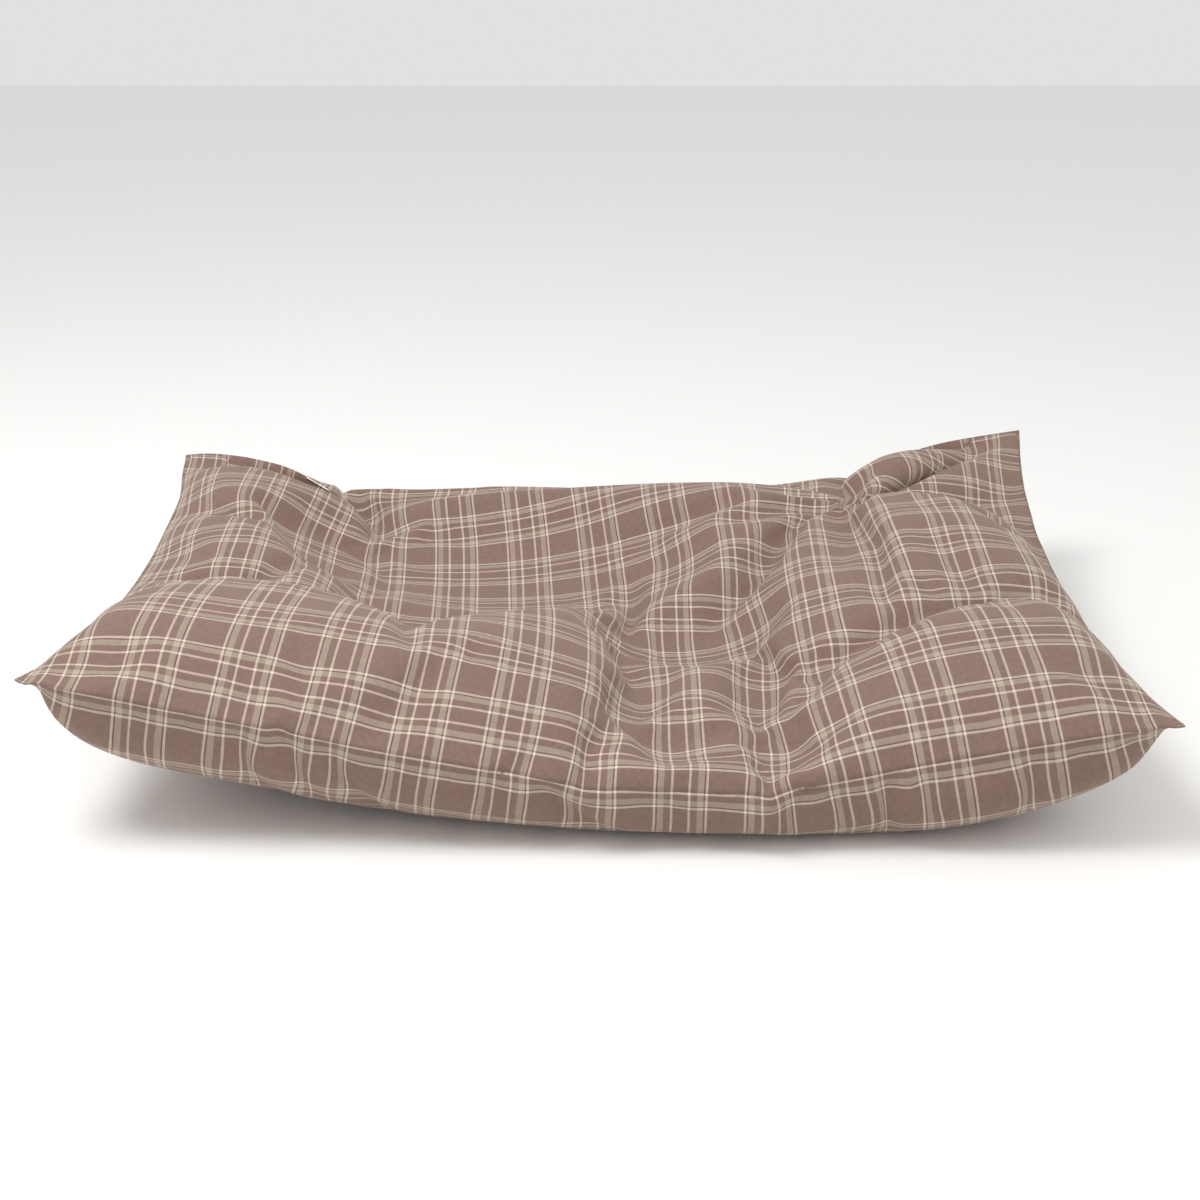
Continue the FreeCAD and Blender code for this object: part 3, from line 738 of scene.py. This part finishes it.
# %% Lining and fibre
def bonded_lining():
    """Spunbonded polypropylene: white and matt, with small dimples where the roller bonded it."""
    material, tree, shader = new_material("spunbond_lining", 0.75, IOR=1.49)
    place = add_node(tree, "ShaderNodeTexCoord")
    dimples = add_node(tree, "ShaderNodeTexVoronoi", Vector=place.outputs["Object"], Scale=1 / (2.2 * MM))
    tint = add_node(tree, "ShaderNodeMix", {"data_type": "RGBA"}, _6=linear("F2EFE6"), _7=linear("E2DED2"))
    tree.links.new(dimples.outputs["Distance"], tint.inputs[0])
    tree.links.new(tint.outputs[2], shader.inputs["Base Color"])
    bump = add_node(
        tree, "ShaderNodeBump", Strength=0.4, Distance=0.2 * MM, Height=dimples.outputs["Distance"]
    )
    tree.links.new(bump.outputs[0], shader.inputs["Normal"])
    return material


def lofted_fibre():
    """Crimped polyester staple: white, very rough, in soft tufts a centimetre or two across, with painted
    shade where they dip.
    """
    material, tree, shader = new_material("polyester_fibre", 0.95, IOR=1.57, Sheen_Weight=0.4)
    place = add_node(tree, "ShaderNodeTexCoord")
    tufts = add_node(
        tree, "ShaderNodeTexNoise", Vector=place.outputs["Object"], Scale=1 / (18 * MM), Detail=8.0
    )
    # painted shade: the white is greyer where the tufts dip and whiter on their tops
    tint = add_node(tree, "ShaderNodeMix", {"data_type": "RGBA"}, _6=linear("E6E6E2"), _7=linear("FAFAF7"))
    tree.links.new(tufts.outputs[0], tint.inputs[0])
    tree.links.new(tint.outputs[2], shader.inputs["Base Color"])
    bump = add_node(tree, "ShaderNodeBump", Strength=0.8, Distance=2 * MM, Height=tufts.outputs[0])
    tree.links.new(bump.outputs[0], shader.inputs["Normal"])
    return material


lining, fibre = bonded_lining(), lofted_fibre()
for name, side, node in (("liner_top", TOP, "liner_top_panel"), ("liner_base", BASE, "liner_bottom_panel")):
    mesh = panel_mesh(name, side, inner_layer(side, LINER_DEPTH))
    bag = add_piece(name, mesh, lining, CUSHION)
    bag.modifiers.new("cloth", "SOLIDIFY").thickness = 0.4 * MM
    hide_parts(node)

fill_sides = [panel_mesh("fill_side", side, inner_layer(side, FILL_DEPTH)) for side in (TOP, BASE)]
fill = add_piece("fibre_filling", weld(fill_sides, "fibre_filling"), fibre, CUSHION)
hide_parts("fibre_fill")
print("inner cushion faces:", len(fill.data.polygons))

# %% [markdown]
# ## Seam allowance
#
# Sewn inside out and turned, the cover keeps a finger's width of both cloths standing inwards from the
# seam. It is what gives a knife edge its slight stiffness. Each side has its own strip, and the back has
# two, one at each side of the zipper.


# %% Turned-in strips along the seam
ALLOWANCE_ROWS = (7 * MM, 16 * MM)  # from the seam to a strip's two rows of points
ALLOWANCE_STEPS = 110  # points along a whole side


def allowance_strip(place_of, start, end, steps):
    """A double strip of cloth that stands inwards from the seam, as two rows of points."""
    rows_of = []
    for inset in ALLOWANCE_ROWS:
        row = []
        for k in range(steps + 1):
            u, v = place_of(start + (end - start) * k / steps, inset)
            row.append(tuple((sample(TOP, u, v) + sample(BASE, u, v)) / 2))
        rows_of.append(row)
    return rows_of


strips = [
    (lambda share, inset: (share, inset / CUT_Y), 0.06, 0.94),
    (lambda share, inset: (share, 1 - inset / CUT_Y), 0.06, 0.20),
    (lambda share, inset: (share, 1 - inset / CUT_Y), 0.80, 0.94),
    (lambda share, inset: (inset / CUT_X, share), 0.08, 0.92),
    (lambda share, inset: (1 - inset / CUT_X, share), 0.08, 0.92),
]
strip_points, strip_faces = [], []
for place_of, start, end in strips:
    steps = max(8, round((end - start) * ALLOWANCE_STEPS))
    outer, inner = allowance_strip(place_of, start, end, steps)
    first = len(strip_points)
    strip_points += outer + inner
    for k in range(steps):
        strip_faces.append((first + k, first + k + 1, first + steps + 2 + k, first + steps + 1 + k))
strip_mesh = bpy.data.meshes.new("seam_allowance_strips")
strip_mesh.from_pydata(strip_points, [], strip_faces)
strip_uv = strip_mesh.uv_layers.new(name="cloth")
for loop in strip_mesh.loops:
    strip_uv.data[loop.index].uv = strip_mesh.vertices[loop.vertex_index].co.xy
allowance = add_piece("seam_allowance_strips", strip_mesh, plaid, CUSHION)
allowance.modifiers.new("two_cloths", "SOLIDIFY").thickness = 1.6 * MM
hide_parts("seam_allowance")
print("allowance strips:", len(strips))

# %% [markdown]
# ## The zipper
#
# Two woven polyester tapes, each with a coil of nylon monofilament sewn along its edge; the loops of one
# coil catch between those of the other. The slider, its pull tab and the stops are die-cast or pressed
# zinc with a lacquered antique finish. The CAD pieces of the hard parts have the right shape already and
# only need their finish.


# %% Zipper finishes
def zinc_antique():
    """Zamak, cast and tumbled, plated in dark brass and lacquered, in darker and brighter blotches."""
    material, tree, shader = new_material("antique_brass_zamak", 0.38, Metallic=1.0)
    place = add_node(tree, "ShaderNodeTexCoord")
    mottle = add_node(
        tree, "ShaderNodeTexNoise", Vector=place.outputs["Object"], Scale=1 / (1.5 * MM), Detail=4.0
    )
    tint = add_node(tree, "ShaderNodeMix", {"data_type": "RGBA"}, _6=linear("5A4632"), _7=linear("A88C64"))
    tree.links.new(mottle.outputs[0], tint.inputs[0])
    tree.links.new(tint.outputs[2], shader.inputs["Base Color"])
    rough = add_node(tree, "ShaderNodeMapRange", Value=mottle.outputs[0], To_Min=0.28, To_Max=0.5)
    tree.links.new(rough.outputs[0], shader.inputs["Roughness"])
    bump = add_node(tree, "ShaderNodeBump", Strength=0.2, Distance=0.05 * MM, Height=mottle.outputs[0])
    tree.links.new(bump.outputs[0], shader.inputs["Normal"])
    return material


def woven_tape():
    """Polyester zipper tape: a tight ribbed weave, dyed to the cover's ground colour, with painted shade
    between the ribs.
    """
    material, tree, shader = new_material("polyester_tape", 0.8, IOR=1.57, Sheen_Weight=0.15)
    place = add_node(tree, "ShaderNodeTexCoord")
    ribs = add_node(tree, "ShaderNodeTexWave", {"bands_direction": "X"}, Vector=place.outputs["Object"])
    ribs.inputs["Scale"].default_value = 0.31 / (1.2 * MM)  # a wave's period is 0.31 over its scale
    # painted shade: the tint is darker in the hollows between the ribs and lighter on their crests
    tint = add_node(tree, "ShaderNodeMix", {"data_type": "RGBA"}, _6=linear("6A5148"), _7=linear("86695E"))
    tree.links.new(ribs.outputs["Fac"], tint.inputs[0])
    tree.links.new(tint.outputs[2], shader.inputs["Base Color"])
    bump = add_node(tree, "ShaderNodeBump", Strength=0.5, Distance=0.15 * MM, Height=ribs.outputs["Fac"])
    tree.links.new(bump.outputs[0], shader.inputs["Normal"])
    return material


def nylon_filament():
    """Nylon 6 monofilament, extruded and heat-set: smooth, satin, slightly see-into."""
    material, tree, shader = new_material("nylon_filament", 0.32, IOR=1.53, Subsurface_Weight=0.1)
    shader.inputs["Subsurface Scale"].default_value = 0.5 * MM
    place = add_node(tree, "ShaderNodeTexCoord")
    dye = add_node(tree, "ShaderNodeTexNoise", Vector=place.outputs["Object"], Scale=1 / (6 * MM))
    tint = add_node(tree, "ShaderNodeMix", {"data_type": "RGBA"}, _6=linear("5E463D"), _7=linear("705549"))
    tree.links.new(dye.outputs[0], tint.inputs[0])
    tree.links.new(tint.outputs[2], shader.inputs["Base Color"])
    return material


def spun_thread():
    """Spun polyester sewing thread: two plies, twisted, a little lighter than the cloth, with painted shade
    between the plies.
    """
    material, tree, shader = new_material("spun_polyester_thread", 0.7, IOR=1.57, Sheen_Weight=0.3)
    place = add_node(tree, "ShaderNodeTexCoord")
    plies = add_node(
        tree, "ShaderNodeTexWave", {"bands_direction": "DIAGONAL"}, Vector=place.outputs["Object"]
    )
    plies.inputs["Scale"].default_value = 0.31 / (0.6 * MM)
    # painted shade: the twist's bands are darker where the plies dip between each other
    tint = add_node(tree, "ShaderNodeMix", {"data_type": "RGBA"}, _6=linear("8A6E63"), _7=linear("B2978A"))
    tree.links.new(plies.outputs["Fac"], tint.inputs[0])
    tree.links.new(tint.outputs[2], shader.inputs["Base Color"])
    return material


def satin_ribbon():
    """Woven polyester satin: white, with fine ribs, painted shade between them, and a soft shine."""
    material, tree, shader = new_material("satin_ribbon", 0.42, IOR=1.57, Sheen_Weight=0.2)
    place = add_node(tree, "ShaderNodeTexCoord")
    yarns = add_node(tree, "ShaderNodeTexWave", {"bands_direction": "X"}, Vector=place.outputs["Object"])
    yarns.inputs["Scale"].default_value = 0.31 / (0.8 * MM)
    # painted shade: the white is greyer in the hollows between the ribs
    tint = add_node(tree, "ShaderNodeMix", {"data_type": "RGBA"}, _6=linear("EFECE4"), _7=linear("F8F6F1"))
    tree.links.new(yarns.outputs["Fac"], tint.inputs[0])
    tree.links.new(tint.outputs[2], shader.inputs["Base Color"])
    bump = add_node(tree, "ShaderNodeBump", Strength=0.25, Distance=0.08 * MM, Height=yarns.outputs["Fac"])
    tree.links.new(bump.outputs[0], shader.inputs["Normal"])
    return material


brass, tape, nylon = zinc_antique(), woven_tape(), nylon_filament()
thread, satin = spun_thread(), satin_ribbon()
finishes = {
    "zipper_slider": brass,
    "zipper_pull_tab": brass,
    "zipper_top_stops": brass,
    "zipper_bottom_stop": brass,
    "zipper_tape_upper": tape,
    "zipper_tape_lower": tape,
    "zipper_bar_tacks": thread,
    "welt_stitching_upper": thread,
    "welt_stitching_lower": thread,
}
for node, finish in finishes.items():
    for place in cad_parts[node].material_slots:
        place.material = finish
    print(node, "->", finish.name)

# %% [markdown]
# ## The coils
#
# The CAD has each row of teeth as a comb, which is enough to slide along. A real coil is one filament
# wound round and round, flattened into loops. Here each row is a tube swept along that winding, between
# the same planes.


# %% Wind the two coils
def coil_path(sign, low, high, pitch=2.0 * MM, steps=10):
    """The filament's centreline: an oval winding, whose loops reach just past the middle of the zipper."""
    path = []
    depth_middle, depth_half = (low.y + high.y) / 2, (high.y - low.y) / 2 - 0.35 * MM
    tip, root = -0.7 * MM, 2.6 * MM  # past the zipper's centreline, and back at the tape
    reach = (root - tip) / 2
    loops = int((high.x - low.x - 3 * MM) / pitch)
    start = low.x + 1.5 * MM + (pitch / 2 if sign < 0 else 0.0)
    for k in range(loops * steps + 1):
        turn = math.tau * k / steps
        lean = pitch * 0.16 * math.sin(turn)
        x = start + pitch * k / steps + lean
        z = zip_z + sign * (tip + reach * (1 - math.cos(turn)))
        path.append(Vector((x, depth_middle + depth_half * math.sin(turn), z)))
    return path


def tube_mesh(name, path, radius, sides=6):
    """A closed round tube along a path."""
    verts, quads = [], []
    for k, point in enumerate(path):
        way = path[min(k + 1, len(path) - 1)] - path[max(k - 1, 0)]
        turn = way.to_track_quat("Z", "Y")
        for s in range(sides):
            angle = math.tau * s / sides
            verts.append(point + turn @ Vector((radius * math.cos(angle), radius * math.sin(angle), 0)))
    for k in range(len(path) - 1):
        for s in range(sides):
            t = (s + 1) % sides
            quads.append((k * sides + s, k * sides + t, (k + 1) * sides + t, (k + 1) * sides + s))
    last = (len(path) - 1) * sides
    quads.append(tuple(reversed(range(sides))))
    quads.append(tuple(range(last, last + sides)))
    mesh = bpy.data.meshes.new(name)
    mesh.from_pydata([tuple(v) for v in verts], [], quads)
    mesh.polygons.foreach_set("use_smooth", [True] * len(mesh.polygons))
    return mesh


FILAMENT_RADIUS = 0.36 * MM
for row, sign in (("upper", 1), ("lower", -1)):
    low, high = (Vector(corner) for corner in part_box(f"zipper_coil_{row}"))
    path = coil_path(sign, low, high)
    winding = tube_mesh(f"coil_{row}", path, FILAMENT_RADIUS)
    coil = add_piece(f"coil_{row}", winding, nylon, CUSHION)
    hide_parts(f"zipper_coil_{row}")
    print(coil.name, "loops", len(path) // 10)

# %% [markdown]
# ## The care label
#
# A loop of blank satin ribbon, sewn into the back seam beside the zipper. It is a cut strip folded once,
# so it is made as that: a strip of points that goes down from the seam, round the fold and back up, with
# a lazy curl.


# %% A folded ribbon
label_low, label_high = (Vector(corner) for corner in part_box("care_label"))
LABEL_W = label_high.x - label_low.x
LABEL_HALF = 46 * MM  # half of the strip's cut length
LABEL_CURL, LABEL_CLEARANCE, LABEL_SEWN_IN = 1.2 * MM, 1.5 * MM, 4 * MM
LAYER_GAP = 0.8 * MM  # between the folded strip's two layers
label_x = (label_low.x + label_high.x) / 2


def seam_at(x):
    """The seam's place along the back, at a given X."""
    back = grid[TOP][:, rows]
    return Vector([float(np.interp(x, back[:, 0], back[:, axis])) for axis in range(3)])


cover_now = bpy.context.evaluated_depsgraph_get()
cover_trees = [BVHTree.FromObject(panel, cover_now) for panel in (cover_top, cover_base)]


def cover_reach(place):
    """How far back the finished cover comes, straight behind or in front of a place."""
    behind = Vector((place.x, 1.0, place.z))
    hits = [tree.ray_cast(behind, Vector((0, -1, 0)))[0] for tree in cover_trees]
    return max((hit.y for hit in hits if hit), default=place.y)


def hanging_layer(drop, across, down):
    """One layer of the strip, as rows of places from the seam down, that bridges the folds of the cover."""
    middle = seam_at(label_x)
    along_seam = (seam_at(label_x + LABEL_W / 2) - seam_at(label_x - LABEL_W / 2)).normalized()
    fall = Vector((0, 0, -1))
    fall = (fall - along_seam * fall.dot(along_seam)).normalized()
    layer, push = [], -LABEL_SEWN_IN
    for k in range(down + 1):
        lower = middle + fall * (drop * k / down)
        row = [lower + along_seam * ((i / across - 0.5) * LABEL_W) for i in range(across + 1)]
        if k > 0:
            push = max(push, max(cover_reach(place) - place.y for place in row) + LABEL_CLEARANCE)
        curls = [LABEL_CURL * math.sin(math.pi * i / across) * k / down for i in range(across + 1)]
        layer.append([place + Vector((0, push + curl, 0)) for place, curl in zip(row, curls)])
    return layer


def label_mesh():
    """The folded strip. How far it hangs is what its cut length leaves after its way out over the cover."""
    across, down = 8, 16
    drop = LABEL_HALF
    for _ in range(5):
        layer = hanging_layer(drop, across, down)
        length = sum((after[0] - before[0]).length for before, after in zip(layer, layer[1:]))
        drop *= LABEL_HALF / length
    print(f"label hangs {drop / MM:.1f} mm, layer length {length / MM:.1f} mm")
    verts, quads = [], []
    for i in range(across + 1):
        line = [row[i] for row in layer]
        fold = line[-1] + Vector((0, 0.4, -0.5)) * MM
        verts += line + [fold] + [place + Vector((0, LAYER_GAP, 0)) for place in reversed(line)]
    stride = 2 * (down + 1) + 1
    for i in range(across):
        for k in range(stride - 1):
            quads.append((i * stride + k, (i + 1) * stride + k, (i + 1) * stride + k + 1, i * stride + k + 1))
    mesh = bpy.data.meshes.new("ribbon_label")
    mesh.from_pydata([tuple(v) for v in verts], [], quads)
    mesh.polygons.foreach_set("use_smooth", [True] * len(mesh.polygons))
    return mesh


label = add_piece("ribbon_label", label_mesh(), satin, CUSHION)
ribbon = label.modifiers.new("ribbon", "SOLIDIFY")
ribbon.thickness = 0.2 * MM
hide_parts("care_label")
print("label hangs from", tuple(round(c, 3) for c in seam_at(label_x)))

# %% [markdown]
# ## Floor, light and camera
#
# A pale floor and soft light from large lamps, so that folds read by their shading and no lamp leaves a
# hard edge. The camera looks from the front and above, as one looks down at a bed on the floor.

# %% Floor
floor_mesh = bpy.data.meshes.new("floor")
floor_mesh.from_pydata([(-6, -6, 0), (6, -6, 0), (6, 6, 0), (-6, 6, 0)], [], [(0, 1, 2, 3)])
floor = bpy.data.objects.new("floor", floor_mesh)
scene.collection.objects.link(floor)
pale, _, pale_shader = new_material("pale_floor", 0.9)
pale_shader.inputs["Base Color"].default_value = linear("F4F3F1")
wear(pale, floor)

# %% Light
world = bpy.data.worlds.new("studio")
scene.world = world
world.use_nodes = True
world.node_tree.nodes["Background"].inputs["Color"].default_value = linear("FFFFFF")
world.node_tree.nodes["Background"].inputs["Strength"].default_value = 0.75


def area_light(name, place, aim, size, power):
    """A square soft lamp at a place, turned towards a point."""
    lamp = bpy.data.lights.new(name, "AREA")
    lamp.size = size
    lamp.energy = power
    holder = bpy.data.objects.new(name, lamp)
    holder.location = place
    holder.rotation_euler = (Vector(aim) - Vector(place)).to_track_quat("-Z", "Y").to_euler()
    scene.collection.objects.link(holder)


area_light("key", (-1.1, -0.8, 2.5), (0, 0, 0.1), 1.1, 46)
area_light("fill", (2.0, -1.2, 2.0), (0, 0, 0.1), 1.5, 10)
scene.view_settings.view_transform = "Standard"

# %% Camera
camera_data = bpy.data.cameras.new("camera")
camera_data.sensor_width = 36.0  # in millimetres, as the lens is
camera_data.lens = 58.7
CAMERA_TILT = 21.68  # degrees below level
camera = bpy.data.objects.new("camera", camera_data)
camera.location = (0.0, -2.2, 1.0)
camera.rotation_euler = (math.radians(90 - CAMERA_TILT), 0.0, 0.0)
scene.collection.objects.link(camera)
scene.camera = camera
